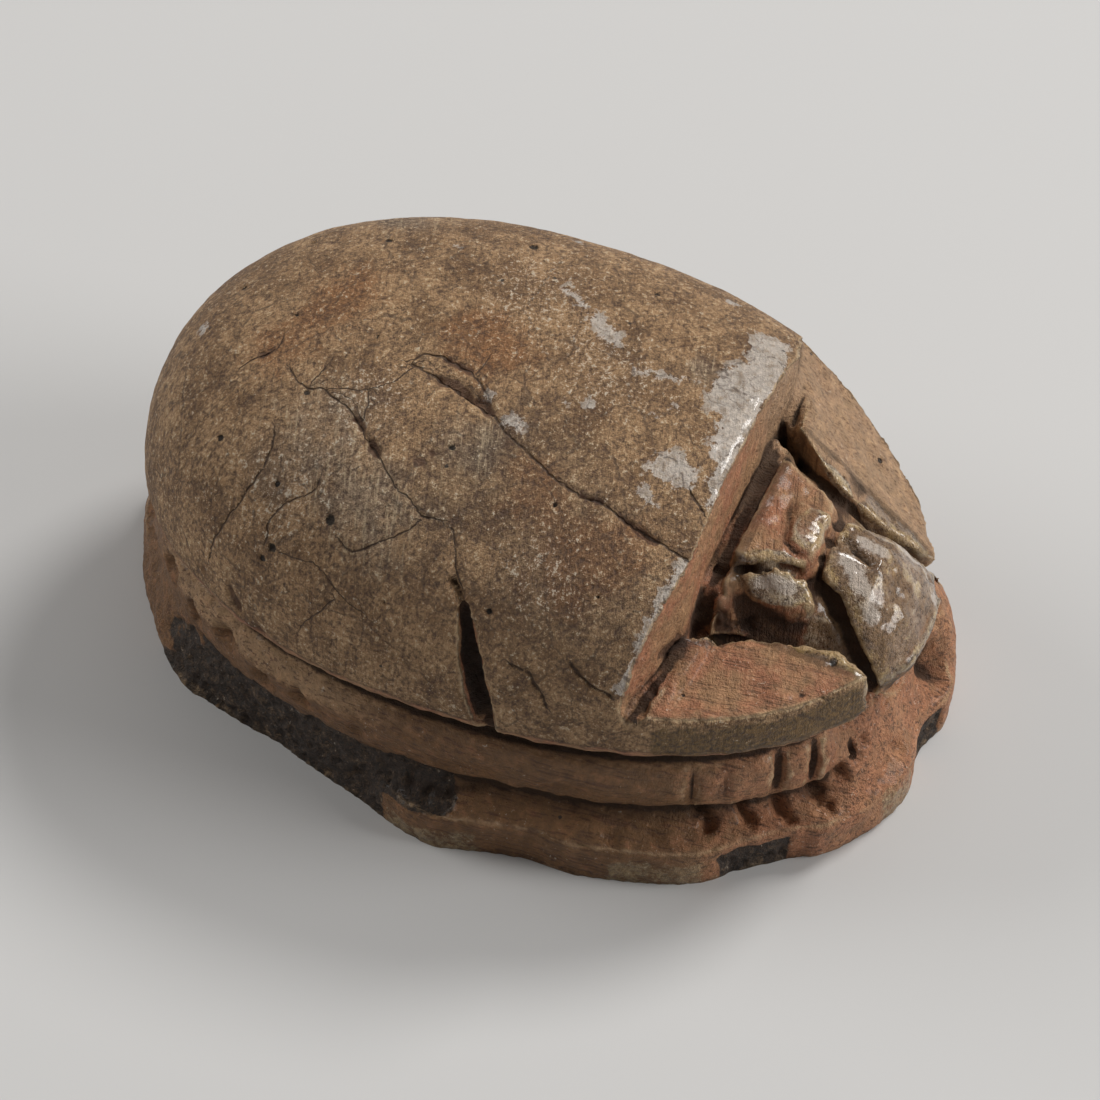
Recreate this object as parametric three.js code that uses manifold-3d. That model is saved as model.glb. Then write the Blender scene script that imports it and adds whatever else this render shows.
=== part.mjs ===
import * as THREE from 'three';
import Module from 'manifold-3d';
import { ConvexGeometry } from 'three/addons/geometries/ConvexGeometry.js';
import { mergeVertices } from 'three/addons/utils/BufferGeometryUtils.js';

// Sizes in millimetres. X runs across the beetle, the head looks along -Y, the underside lies flat.

// Back of the beetle, measured at its lower edge
const backHalfWidth = 6.47;
const backRearLength = 9.02;
const backFrontLength = 9.98;
const backCentreY = 0.07;
const backEdgeHeight = 4.4;
const backTopHeight = 9.47;
const planRoundness = 2.17; // 2 is an ellipse, more is squarer
const backRoundness = 2.59;

// Sides: how far each line stands out from the back's edge, and its height
const rimBrow = 0.05;
const rimHeight = 1.15;
const rimTopIn = -0.5;
const rimTopInHeight = 1.5;
const footGrooveIn = -0.68;
const footGrooveHeight = 1.78;
const legLowerIn = -0.33;
const legLowerHeight = 2.15;
const legMiddleIn = -0.2;
const legMiddleHeight = 2.85;
const legUpperIn = -0.36;
const legUpperHeight = 3.5;
const lipGrooveIn = -0.78;
const lipGrooveHeight = 3.75;
const lipUnderIn = -0.16;
const lipUnderHeight = 4.16;

// Apron under the head, where the legs end
const apronFrom = 246; // degrees round from the right side, counted over the rear
const apronTo = 280;
const apronBlend = 8;
const bossFrom = 284; // stub of the right front leg, beside the piercing
const bossTo = 304;
const bossBlend = 5;

// Worn and chipped rim of the base: degrees round from the right side, counted over the rear
const rimLine = [
  [0, 0.24], [9, 0.28], [16, 0.12], [22, 0.26], [34, 0.3], [41, 0.08], [47, 0.22], [60, 0.26],
  [72, 0.2], [78, 0.0], [84, 0.18], [96, 0.2], [104, 0.1], [117, -0.1], [124, -0.06], [136.6, 0.03],
  [141, -0.2], [145, -0.3], [156, -0.56], [165, -0.41], [172.5, -0.2], [179, 0.2], [183, 0.36],
  [190, 0.04], [195, 0.0], [200.5, 0.21], [208, 0.24], [216, 0.29], [221, 0.26], [225, 0.02],
  [233, -0.04], [237, 0.02], [240.5, 0.21], [250, 0.25], [260, 0.32], [265, 0.3], [269, 0.04],
  [273, 0.06], [276, 0.2], [279, 0.433], [283, 0.5], [290, 0.58], [297, 0.55], [303, 0.4], [309, 0.14],
  [320, 0.26], [327, 0.06], [333, 0.24], [345, 0.3], [352, 0.1], [360, 0.24],
];
// Where the base has broken away up to the legs, on the left flank
const breakFrom = 104;
const breakFootTo = 177;
const breakTopTo = 185;
const wornBlend = 14; // degrees over which the rear wear turns into the break
const breakBlend = 4;
const breakIn = -0.42;
const breakSlope = [[0, 0], [0.45, 0.85], [0.75, 1.3], [1, 1.85]]; // share of the way in, height

// Lines of the flank under the head: the first follow the rim, the rest stand out from the back's edge
const apronFoot = [[0, 0], [-0.02, 0.95]];
const apronFlank = [
  [-0.2, 1.5], [-0.36, 1.9], [-0.5, 2.3], [-0.72, 2.85], [-0.9, 3.35], [-0.95, 3.7], [-0.3, 4.1],
];
const bossFoot = [[0, 0], [0.03, 1.1], [-0.04, 1.9], [-0.12, 2.35]];
const bossFlank = [[0.16, 2.8], [-0.06, 3.15]];

// Front of the wing cases
const ridgeY = -5.1;
const ridgeBendX = 3.5;
const ridgeEndX = 5.9;
const ridgeEndY = -4.5;
const trenchAhead = 0.28; // its floor lies this far in front of the ridge
// From the middle outward: distance from the middle, height of its floor, half its width
const trenchLines = {
  left: [[0, 6.6, 0.3], [ridgeBendX, 5.9, 0.32], [4.8, 5.3, 0.3], [6.2, 4.9, 0.2]],
  right: [[0, 6.6, 0.3], [3.0, 6.6, 0.28], [ridgeBendX, 6.8, 0.24], [5.4, 7.0, 0.12]],
};

// Channel between the plates, in which the head stands: how far ahead of the ridge, and from the middle
const channelRight = [[0, 2.95], [0.5, 2.5], [1.2, 2.05], [1.9, 1.78], [2.7, 1.9]];
const channelLeft = [[0, 3.45], [1.1, 2.7], [2.4, 2.3]];
const channelMouth = [[3.3, 2.1], [3.7, 2.25], [4.2, 2.45]];
const channelEndX = 2.6;
// Height of its floor at the ridge's own middle line, near the mouth and beyond it
const channelFloor = [[0, 5.3], [-8.2, 4.9], [-12, 2.2]];

// Flat facet of each side plate: its height carried on to the middle, its fall outward and ahead
const plates = {
  left: { height: 6.52, out: 0.1, ahead: 0.07 },
  right: { height: 13.3, out: 0.46, ahead: 0.85 },
};

// Notch that parts the shoulder from the wing case
const notchTopX = 5.5;
const notchTopY = -0.5;
const notchTopHeight = 7.8;
const notchFootY = -1.72;
const notchWidth = 0.62;
const notchDepth = 0.55;
const notchBeyond = 0.4; // how far the cutter stands out of the stone

// Cuts across a front leg: degrees round, half width and depth
const legCutLines = [
  [217.5, 0.26, 0.5], [223.3, 0.27, 0.42], [233, 0.42, 0.5], [240.5, 0.38, 0.48], [252, 0.38, 0.72],
];
const rightLegCuts = 4; // the right leg ends in its stub
const legCutBeyond = 0.3;

// Corners of the carved head on its right half: from the middle, along the body, height
const faceCoreCorners = [
  [2.2, -5.0, 6.9], [3.2, -5.0, 4.0], [1.7, -5.9, 6.5], [2.3, -6.2, 4.0], [1.15, -7.35, 6.2],
  [1.7, -7.6, 4.0], [1.2, -8.8, 5.4], [1.5, -9.5, 3.9],
];
const faceFieldCorners = [[1.6, -5.6, 7.26], [0.98, -7.14, 7.0], [1.7, -5.5, 6.0], [1.1, -7.2, 6.0]];
// Small polished block at the front of the face, a little off the middle
const browCorners = [
  [0.5, -6.36, 7.26], [0.44, -7.2, 7.16], [-0.8, -7.22, 7.14], [-0.66, -6.6, 7.24],
  [0.6, -6.25, 6.2], [0.5, -7.32, 6.2], [-0.9, -7.32, 6.2], [-0.75, -6.5, 6.2],
];
const cheekCorners = [
  [2.15, -5.65, 6.55], [2.8, -5.45, 5.5], [2.4, -6.3, 5.4], [1.7, -5.6, 5.4], [1.8, -6.2, 5.4],
];
const eyeCorners = [
  [1.75, -5.85, 6.9], [1.5, -6.55, 7.12], [1.3, -7.35, 6.8], [2.0, -6.2, 6.45], [1.95, -7.1, 6.4],
  [1.65, -7.65, 6.35], [1.6, -5.8, 5.2], [1.3, -6.4, 5.2], [1.1, -7.4, 5.2], [1.7, -7.2, 5.2],
];
const clypeusCorners = [
  [0.84, -7.5, 6.62], [0.35, -7.48, 6.72], [1.45, -8.6, 5.75], [0.95, -8.55, 6.3],
  [0.4, -8.7, 6.42], [1.82, -9.4, 4.6], [1.1, -9.78, 4.6], [0.5, -9.92, 4.6],
  [1.2, -9.3, 5.35], [0.5, -9.45, 5.6], [1.75, -9.3, 4.05], [0.6, -9.75, 4.05],
  [0.8, -7.45, 5.6], [1.3, -8.6, 4.8],
];
// Slit at the middle of the clypeus, cut by a thin wedge
const slitCorners = [
  [0, -7.2, 6.2], [0, -8.55, 6.34], [-0.22, -7.2, 7.2], [0.22, -7.2, 7.2], [-0.08, -8.6, 6.9],
  [0.08, -8.6, 6.9],
];

// Lengthwise piercing
const boreDiameter = 1.6;
const boreHeight = 3.15;
const boreX = 0.3;
const boreFacets = 28;

const ringCount = 120;
const backRings = 15;
const far = 12; // beyond every face of the stone

const wasm = await Module();
wasm.setup();

function solidOf(geometry) {
  const bare = new THREE.BufferGeometry();
  bare.setAttribute('position', geometry.getAttribute('position').clone());
  if (geometry.index) bare.setIndex(geometry.index.clone());
  const merged = mergeVertices(bare, 1e-5);
  const corners = merged.index
    ? Uint32Array.from(merged.index.array)
    : Uint32Array.from({ length: merged.getAttribute('position').count }, (_, i) => i);
  return new wasm.Manifold(new wasm.Mesh({
    numProp: 3,
    vertProperties: new Float32Array(merged.getAttribute('position').array),
    triVerts: corners,
  }));
}

// Convex solid round a list of corner points
function blockOf(points) {
  return solidOf(new ConvexGeometry(points.map((p) => new THREE.Vector3(...p))));
}

// The same corners on the right (1) or the left (-1)
function onSide(side, points) {
  return points.map(([x, y, z]) => [side * x, y, z]);
}

function lerp(a, b, share) {
  return a + (b - a) * share;
}

function smooth(from, to, value) {
  const share = Math.min(1, Math.max(0, (value - from) / (to - from)));
  return share * share * (3 - 2 * share);
}

function rimAt(degrees) {
  const next = rimLine.findIndex(([angle]) => angle >= degrees);
  if (next <= 0) return rimLine[0][1];
  const [a0, r0] = rimLine[next - 1];
  const [a1, r1] = rimLine[next];
  return lerp(r0, r1, (degrees - a0) / (a1 - a0));
}

// Point of the back's edge at an angle, and the direction straight out from it
function edgeAt(degrees) {
  const angle = THREE.MathUtils.degToRad(degrees);
  const reach = Math.sin(angle) > 0 ? backRearLength : backFrontLength;
  const bend = (value) => Math.sign(value) * Math.abs(value) ** (2 / planRoundness);
  const x = backHalfWidth * bend(Math.cos(angle));
  const y = reach * bend(Math.sin(angle));
  const steep = (value, size) => Math.sign(value) * Math.abs(value / size) ** (planRoundness - 1) / size;
  const out = new THREE.Vector2(steep(x, backHalfWidth), steep(y, reach)).normalize();
  return { x, y, out };
}

// Lines of the flank from the foot up to the lip, at one angle
function flankAt(degrees) {
  const rim = rimAt(degrees);
  const legUpper = [legUpperIn, legUpperHeight];
  const lipGroove = [lipGrooveIn, lipGrooveHeight];
  const lipUnder = [lipUnderIn, lipUnderHeight];
  const side = [
    [rim, 0], [rim + rimBrow, rimHeight], [rimTopIn, rimTopInHeight],
    [footGrooveIn, footGrooveHeight], [legLowerIn, legLowerHeight],
    [legMiddleIn, legMiddleHeight], legUpper, lipGroove, lipUnder,
  ];
  const alongRim = (lines) => lines.map(([stand, height]) => [rim + stand, height]);
  const front = [...alongRim(apronFoot), ...apronFlank];
  const boss = [...alongRim(bossFoot), ...bossFlank, legUpper, lipGroove, lipUnder];
  const broken = breakSlope.map(([share, height]) => [lerp(rim, breakIn, share), height]);
  const window = (from, to, start, end) => smooth(from - start / 2, from + start / 2, degrees)
    * (1 - smooth(to - end / 2, to + end / 2, degrees));
  const ahead = window(apronFrom, apronTo, apronBlend, apronBlend);
  const stub = window(bossFrom, bossTo, bossBlend, bossBlend);
  const goneFoot = window(breakFrom, breakFootTo, wornBlend, breakBlend);
  const goneTop = window(breakFrom, breakTopTo, wornBlend, breakBlend);
  const mix = (p, q, share) => [lerp(p[0], q[0], share), lerp(p[1], q[1], share)];
  return side.map((line, i) => {
    const turned = mix(mix(line, front[i], ahead), boss[i], stub);
    return i < broken.length ? mix(turned, broken[i], i < 2 ? goneFoot : goneTop) : turned;
  });
}

// Closed skin from rings of equal count, with a point at the bottom and one at the top
function skinOf(rings, bottom, top) {
  const count = rings[0].length;
  const positions = [...rings.flat(), bottom, top].flat();
  const last = rings.length * count;
  const index = [];
  for (let i = 0; i < count; i += 1) {
    const j = (i + 1) % count;
    index.push(last, j, i);
    for (let k = 0; k + 1 < rings.length; k += 1) {
      const a = k * count;
      const b = a + count;
      index.push(a + i, a + j, b + j, a + i, b + j, b + i);
    }
    const a = (rings.length - 1) * count;
    index.push(a + i, a + j, last + 1);
  }
  const geometry = new THREE.BufferGeometry();
  geometry.setAttribute('position', new THREE.Float32BufferAttribute(positions, 3));
  geometry.setIndex(index);
  return solidOf(geometry);
}

function bodyWithBack() {
  const angles = Array.from({ length: ringCount }, (_, i) => (360 * i) / ringCount);
  const flanks = angles.map(flankAt);
  const rings = flanks[0].map((_, line) => angles.map((degrees, i) => {
    const { x, y, out } = edgeAt(degrees);
    const [stand, height] = flanks[i][line];
    return [x + out.x * stand, backCentreY + y + out.y * stand, height];
  }));
  for (let ring = 0; ring < backRings; ring += 1) {
    const turn = (Math.PI / 2) * (ring / backRings);
    const share = Math.cos(turn) ** (2 / backRoundness);
    const lift = Math.sin(turn) ** (2 / backRoundness);
    rings.push(angles.map((degrees) => {
      const { x, y } = edgeAt(degrees);
      return [x * share, backCentreY + y * share, lerp(backEdgeHeight, backTopHeight, lift)];
    }));
  }
  return skinOf(rings, [0, backCentreY, 0], [0, backCentreY, backTopHeight]);
}

// Foot of the ridge seen from above, on the right half
function ridgeLine(x) {
  const share = Math.max(0, (x - ridgeBendX) / (ridgeEndX - ridgeBendX));
  return lerp(ridgeY, ridgeEndY, share);
}

// Everything over the cutting plane of one side plate, in front of the ridge
function abovePlate(side) {
  const plate = side < 0 ? plates.left : plates.right;
  const shape = new THREE.Shape([
    [0, -far], [far, -far], [far, ridgeLine(far)], [ridgeBendX, ridgeY], [0, ridgeY],
  ].map(([x, y]) => new THREE.Vector2(x, y)));
  const column = solidOf(new THREE.ExtrudeGeometry(shape, { depth: far, bevelEnabled: false }));
  const corners = [];
  for (const x of [0, far]) {
    for (const y of [-far, 0]) {
      corners.push([x, y, plate.height - plate.out * x + plate.ahead * y], [x, y, 2 * far]);
    }
  }
  const cut = column.intersect(blockOf(corners));
  return side > 0 ? cut : cut.mirror([1, 0, 0]);
}

function headChannel() {
  const edge = (lines, side) => [
    ...[...lines, ...channelMouth].map(([ahead, x]) => [side * x, ridgeY - ahead]),
    [side * channelEndX, -far],
  ];
  const outline = [...edge(channelRight, 1), ...edge(channelLeft, -1).reverse()];
  const shape = new THREE.Shape(outline.map(([x, y]) => new THREE.Vector2(x, y)));
  const column = solidOf(new THREE.ExtrudeGeometry(shape, { depth: far, bevelEnabled: false }));
  const corners = [];
  for (const x of [-far, far]) {
    for (const [y, floor] of channelFloor) corners.push([x, y, floor]);
    corners.push([x, 0, far], [x, -far, far]);
  }
  return column.intersect(blockOf(corners));
}

// Narrow trench at the foot of the ridge, dying out toward the flank
function trench(side) {
  const stations = side < 0 ? trenchLines.left : trenchLines.right;
  const section = ([x, z, half]) => {
    const back = ridgeLine(x);
    const front = back - trenchAhead - half;
    return [
      [x, back - trenchAhead, z], [x, front, z + 3 * half], [x, back, z + 2 * trenchAhead],
      [x, back, z + far], [x, front, z + far],
    ];
  };
  const cuts = [];
  for (let i = 0; i + 1 < stations.length; i += 1) {
    cuts.push(blockOf(onSide(side, [...section(stations[i]), ...section(stations[i + 1])])));
  }
  return wasm.Manifold.union(cuts);
}

// One solid round the corners of both halves
function bothHalves(corners) {
  return blockOf([...onSide(1, corners), ...onSide(-1, corners)]);
}

function shoulderNotch(side) {
  const half = notchWidth / 2;
  const outside = backHalfWidth + notchBeyond;
  return blockOf(onSide(side, [
    [notchTopX - 0.15, notchTopY, notchTopHeight],
    [backHalfWidth - notchDepth, notchFootY, backEdgeHeight - 0.5],
    [notchTopX + 0.6, notchTopY + 0.08, notchTopHeight + 0.3],
    [notchTopX + 0.6, notchTopY - 0.12, notchTopHeight + 0.3],
    [outside, notchFootY + half, backEdgeHeight - 0.7],
    [outside, notchFootY - half, backEdgeHeight - 0.7],
    [outside, notchFootY + half * 0.8, backEdgeHeight + 1.6],
    [outside, notchFootY - half * 0.4, backEdgeHeight + 1.6],
  ]));
}

// Small cuts across a front leg, one after the other
function legCuts(side) {
  const cuts = [];
  const lines = side < 0 ? legCutLines : legCutLines.slice(0, rightLegCuts);
  for (const [degrees, width, depth] of lines) {
    const { x, y, out } = edgeAt(degrees);
    const along = new THREE.Vector2(-out.y, out.x);
    const corner = (stand, shift, z) => [
      x + out.x * stand + along.x * shift, backCentreY + y + out.y * stand + along.y * shift, z,
    ];
    const inside = legMiddleIn - depth;
    const low = legLowerHeight - 0.3;
    const high = legUpperHeight + 0.2;
    const cut = blockOf([
      corner(inside, 0, low + 0.2), corner(inside, 0, high - 0.1),
      corner(legCutBeyond, -width, low), corner(legCutBeyond, -width, high),
      corner(legCutBeyond, width, low), corner(legCutBeyond, width, high),
    ]);
    cuts.push(side < 0 ? cut : cut.mirror([1, 0, 0]));
  }
  return wasm.Manifold.union(cuts);
}

function bore() {
  const pin = new THREE.CylinderGeometry(boreDiameter / 2, boreDiameter / 2, 3 * far, boreFacets);
  pin.translate(boreX, 0, boreHeight);
  return solidOf(pin);
}

function scarab() {
  let stone = bodyWithBack();
  for (const side of [-1, 1]) stone = stone.subtract(abovePlate(side));
  stone = stone.subtract(headChannel()).add(bothHalves(faceCoreCorners));
  for (const side of [-1, 1]) stone = stone.subtract(trench(side));
  stone = stone.add(bothHalves(faceFieldCorners)).add(blockOf(browCorners)).add(bothHalves(clypeusCorners));
  for (const corners of [eyeCorners, cheekCorners]) stone = stone.add(blockOf(onSide(-1, corners)));
  for (const side of [-1, 1]) stone = stone.subtract(shoulderNotch(side)).subtract(legCuts(side));
  return stone.subtract(blockOf(slitCorners)).subtract(bore());
}

// Sits the solid on the ground with the middle of its box over the origin
function centred(solid) {
  const { min, max } = solid.boundingBox();
  return solid.translate([-(min[0] + max[0]) / 2, -(min[1] + max[1]) / 2, -min[2]]);
}

function geometryOf(solid) {
  const mesh = solid.getMesh();
  const geometry = new THREE.BufferGeometry();
  geometry.setAttribute('position', new THREE.Float32BufferAttribute(mesh.vertProperties, 3));
  geometry.setIndex(new THREE.BufferAttribute(mesh.triVerts, 1));
  geometry.computeVertexNormals();
  return geometry;
}

const stoneMaterial = new THREE.MeshStandardMaterial({ color: 0x8a7257, roughness: 0.7, metalness: 0 });

const model = new THREE.Group();
const piece = new THREE.Mesh(geometryOf(centred(scarab())), stoneMaterial);
piece.name = 'scarab';
model.add(piece);

export default model;
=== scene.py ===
import math
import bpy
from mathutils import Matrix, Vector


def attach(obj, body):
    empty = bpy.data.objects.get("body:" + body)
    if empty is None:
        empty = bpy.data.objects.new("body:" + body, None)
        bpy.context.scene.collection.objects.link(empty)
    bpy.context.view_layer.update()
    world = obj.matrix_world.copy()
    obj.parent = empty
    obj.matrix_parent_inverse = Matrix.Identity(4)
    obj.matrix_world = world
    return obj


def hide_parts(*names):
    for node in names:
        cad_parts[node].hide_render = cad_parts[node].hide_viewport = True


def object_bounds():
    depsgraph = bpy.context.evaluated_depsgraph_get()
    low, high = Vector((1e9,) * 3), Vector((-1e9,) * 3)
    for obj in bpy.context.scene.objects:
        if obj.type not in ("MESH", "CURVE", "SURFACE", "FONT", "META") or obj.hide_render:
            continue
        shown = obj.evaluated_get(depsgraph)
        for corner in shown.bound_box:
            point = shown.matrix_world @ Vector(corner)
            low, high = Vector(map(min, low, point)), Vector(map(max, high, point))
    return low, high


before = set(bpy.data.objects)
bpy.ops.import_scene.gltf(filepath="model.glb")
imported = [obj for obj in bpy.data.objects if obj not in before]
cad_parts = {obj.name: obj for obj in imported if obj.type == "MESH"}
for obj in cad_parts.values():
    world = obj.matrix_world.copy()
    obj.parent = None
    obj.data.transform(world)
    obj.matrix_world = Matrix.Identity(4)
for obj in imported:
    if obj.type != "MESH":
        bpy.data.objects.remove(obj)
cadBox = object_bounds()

from types import SimpleNamespace

import bmesh
import bpy
import numpy as np
from mathutils import Matrix, Vector, noise

mm = 0.001
print("frame loaded")

# Camera at the photograph's angle, lengths in millimetres
photoView = {
    "azimuth": -70.5, "elevation": 49.8, "roll": 3.3, "distance": 172.0, "lens": 241.8,
    "lookAt": (0.053, 0.446, 3.1), "shiftX": 0.0236, "shiftY": -0.0045,
}


def placeCamera(view):
    turn, rise, roll = (math.radians(view[k]) for k in ("azimuth", "elevation", "roll"))
    right = Vector((math.cos(turn), math.sin(turn), 0))
    back = Vector((math.sin(turn) * math.cos(rise), -math.cos(turn) * math.cos(rise), math.sin(rise)))
    up = back.cross(right)
    across = right * math.cos(roll) + up * math.sin(roll)
    upward = up * math.cos(roll) - right * math.sin(roll)
    data = bpy.data.cameras.new("photoCamera")
    data.lens, data.sensor_width = view["lens"], 36
    data.shift_x, data.shift_y = view["shiftX"], view["shiftY"]
    data.clip_start, data.clip_end = 0.01, 10
    camera = bpy.data.objects.new("photoCamera", data)
    bpy.context.scene.collection.objects.link(camera)
    place = (Vector(view["lookAt"]) + back * view["distance"]) * mm
    camera.matrix_world = Matrix.Translation(place) @ Matrix((across, upward, back)).transposed().to_4x4()
    bpy.context.scene.camera = camera


placeCamera(photoView)

# Soft studio light: direction from the stone, distance and width in metres, strength in watts
studioLights = {
    "windowKey": {"from": (0.62, -0.3, 0.76), "distance": 0.32, "width": 0.1, "watts": 0.52,
                  "tint": (1, 0.98, 0.95)},
    "frontSoft": {"from": (0.25, -0.95, 0.5), "distance": 0.4, "width": 0.2, "watts": 0.8,
                  "tint": (1, 0.985, 0.96)},
    "rearSoft": {"from": (-0.1, 0.95, 0.6), "distance": 0.4, "width": 0.24, "watts": 0.54,
                 "tint": (1, 0.985, 0.96)},
    "topSoft": {"from": (0.3, 0.1, 1.0), "distance": 0.4, "width": 0.3, "watts": 0.14,
                "tint": (1, 0.985, 0.965)},
}
roomLight = {"colour": (1.0, 0.97, 0.94, 1), "strength": 0.16}


def lightStone(lights, room):
    for name, light in lights.items():
        data = bpy.data.lights.new(name, "AREA")
        data.shape, data.size = "DISK", light["width"]
        data.energy, data.color = light["watts"], light["tint"]
        lamp = bpy.data.objects.new(name, data)
        bpy.context.scene.collection.objects.link(lamp)
        way = Vector(light["from"]).normalized()
        lamp.location = way * light["distance"]
        lamp.rotation_euler = way.to_track_quat("Z", "Y").to_euler()
    world = bpy.data.worlds.new("paleRoom")
    world.use_nodes = True
    world.node_tree.nodes["Background"].inputs["Color"].default_value = room["colour"]
    world.node_tree.nodes["Background"].inputs["Strength"].default_value = room["strength"]
    bpy.context.scene.world = world


lightStone(studioLights, roomLight)
bpy.context.scene.view_settings.view_transform = "Standard"
print("camera and lights placed")


# A socket with arithmetic, so that a pattern reads as a sum
class Signal:
    def __init__(self, bench, socket):
        self.bench, self.socket = bench, socket

    def maths(self, operation, first, second=None):
        values = {0: first} if second is None else {0: first, 1: second}
        return self.bench.add("ShaderNodeMath", {"operation": operation}, values)

    def __add__(self, other):
        return self.maths("ADD", self, other)

    def __radd__(self, other):
        return self.maths("ADD", other, self)

    def __sub__(self, other):
        return self.maths("SUBTRACT", self, other)

    def __rsub__(self, other):
        return self.maths("SUBTRACT", other, self)

    def __mul__(self, other):
        return self.maths("MULTIPLY", self, other)

    def __rmul__(self, other):
        return self.maths("MULTIPLY", other, self)

    def __abs__(self):
        return self.maths("ABSOLUTE", self)

    def most(self, other):
        return self.maths("MAXIMUM", self, other)

    def least(self, other):
        return self.maths("MINIMUM", self, other)

    # 0 below low and 1 above high, or the other way round
    def rise(self, low, high):
        return self.bench.add("ShaderNodeMapRange", {"interpolation_type": "SMOOTHSTEP"}, {
            "Value": self, "From Min": low, "From Max": high})


def tint(*picked):
    # from a picked colour, 0 to 255, to the shader's own
    shares = [c / 255 for c in picked]
    return tuple(c / 12.92 if c < 0.0404 else ((c + 0.055) / 1.055) ** 2.4 for c in shares) + (1,)


# Where nodes are put and joined
class Bench:
    def __init__(self, name):
        self.material = bpy.data.materials.new(name)
        self.material.use_nodes = True
        self.tree = self.material.node_tree
        self.tree.nodes.clear()

    def add(self, kind, settings=None, values=None, output=0):
        node = self.tree.nodes.new(kind)
        for name, value in (settings or {}).items():
            setattr(node, name, value)
        for name, value in (values or {}).items():
            if isinstance(value, Signal):
                self.tree.links.new(value.socket, node.inputs[name])
            else:
                node.inputs[name].default_value = value
        return Signal(self, node.outputs[output]) if node.outputs else None

    def mask(self, name):
        return self.add("ShaderNodeAttribute", {"attribute_name": name}, output=2)

    def cover(self, under, over, share):
        return self.add("ShaderNodeMix", {"data_type": "RGBA"}, {0: share, 6: under, 7: over}, output=2)

    def shade(self, colour, amount):
        # multiplies a colour by a number
        plain = colour if isinstance(colour, Signal) else colour[:3]
        return self.add("ShaderNodeVectorMath", {"operation": "SCALE"}, {0: plain, "Scale": amount})

    def clouds(self, spot, scale, detail, rough):
        return self.add("ShaderNodeTexNoise", {}, {
            "Vector": spot, "Scale": scale, "Detail": detail, "Roughness": rough})

    def cells(self, spot, scale, feature="F1"):
        return self.add("ShaderNodeTexVoronoi", {"feature": feature}, {"Vector": spot, "Scale": scale})

    def between(self, first, second, share):
        # from one place to another
        return self.add("ShaderNodeMix", {"data_type": "VECTOR"}, {0: share, 4: first, 5: second}, output=1)

    def stretched(self, spot, turn, scale):
        # the same spot turned and squeezed, for marks that run one way
        return self.add("ShaderNodeMapping", {"vector_type": "TEXTURE"}, {
            "Vector": spot, "Rotation": turn, "Scale": scale})

    def finish(self, shader):
        self.add("ShaderNodeOutputMaterial", {}, {"Surface": shader})
        return self.material


# The stone, in millimetres and degrees; the box's middle stands a little off the back's middle
scarabStone = {
    "middle": (0.053, 0.446, 0.0), "baseHeight": 0.06,
    "voxel": 0.086, "softenRounds": 3, "nearRounds": 8, "wideRounds": 50, "mostTriangles": 196000,
    # the back's round form
    "halfWidth": 6.47, "rear": 9.02, "front": 9.98, "backY": 0.07, "lip": 4.4, "top": 9.47,
    "planPower": 2.17, "backPower": 2.59, "skinDepth": 0.05, "skinEdge": 0.11,
    # the head's block, and where the clypeus, the plates' green edge and the redder front begin
    "headMiddle": 0.05, "faceHalf": 2.3, "faceSides": (-0.35, -0.15), "faceRear": (-5.4, -5.1),
    "faceFoot": (4.3, 4.8), "clypeusRear": (-7.1, -6.9), "plateRear": (-5.0, -4.6), "greenTop": (5.05, 5.75),
    # the last heights and degrees round mark a painted highlight on the flank band's top
    "frontRear": (-7.4, -4.6), "farFrom": (0.6, 2.4), "bandHighlightHeights": (2.5, 3.1, 3.6, 3.8),
    "bandHighlightAngles": (112, 130, 160, 190),
    # uneven ground: size, octaves and start of each field, then how far they move the surface
    "unevenFields": {"wander": (0.9, 3, (3, 1, 7)), "coarse": (2.4, 2, (1, 5, 2)), "middling": (0.75, 3, (8, 3, 4)),
                     "fine": (0.28, 2, (2, 9, 6)), "crumbs": (0.45, 3, (6, 6, 1))},
    "swell": 0.03, "unevenness": 0.014, "grain": 0.012, "cutUnevenness": 0.035, "edgeWear": 0.08,
    "wornEdge": (0.004, 0.03), "crackReach": 0.3, "crackNear": (0.14, 0.28), "crackWidth": 0.066,
    "crackDepth": 0.07, "pitDepth": 0.09, "perDegree": 0.14,
    "breakStart": 126, "breakStartFade": 6, "breakStartLean": 5, "breakWander": 9, "breakEnd": 176,
    "breakEndLean": 8, "breakTop": 1.88,
    # earth and painted shade: painted shadow under the lip, a darker foot line, painted shade in the notches, earth
    # and shade in the head's hollows
    "lipShadowLine": 3.95, "footLine": 1.84, "notchFront": (-2.4, -2.2), "notchDepth": (0.08, 0.22),
    "notchSide": (6.6, 6.8), "notchShade": 1.8, "recessTop": (6.2, 6.6),
    # earth raised in the trench and in the slit, and where they lie
    "trenchFill": 0.3, "slitFill": 0.1, "slitHalf": (0.22, 0.34), "slitLength": (-8.35, -8.1, -6.9, -6.7),
    "slitTop": (6.35, 6.75), "trenchLine": -4.93, "trenchBend": 0.25, "trenchStraight": 3.55,
    "trenchHalf": (0.25, 0.5), "trenchRise": (-0.5, -0.2, 0.1, 0.65), "trenchEnd": (2.2, 3.0),
    "trenchFloor": ([-6.2, -4.8, -3.5, 0, 3.0, 3.5, 5.4], [4.9, 5.3, 5.9, 6.6, 6.6, 6.8, 7.0]),
    # the underside: border, lines across, and rows of strokes as place, step, lean and half length
    "borderLevel": 0.86, "borderWidth": 0.02, "borderDepth": 0.14, "strokeDepth": 0.1, "crossLines": (-3.4, 3.2),
    "strokeRows": ((-5.6, 0.95, 0.0, 1.1), (0.0, 1.25, 0.25, 2.2), (5.2, 0.9, 0.0, 1.1)),
}

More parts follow.
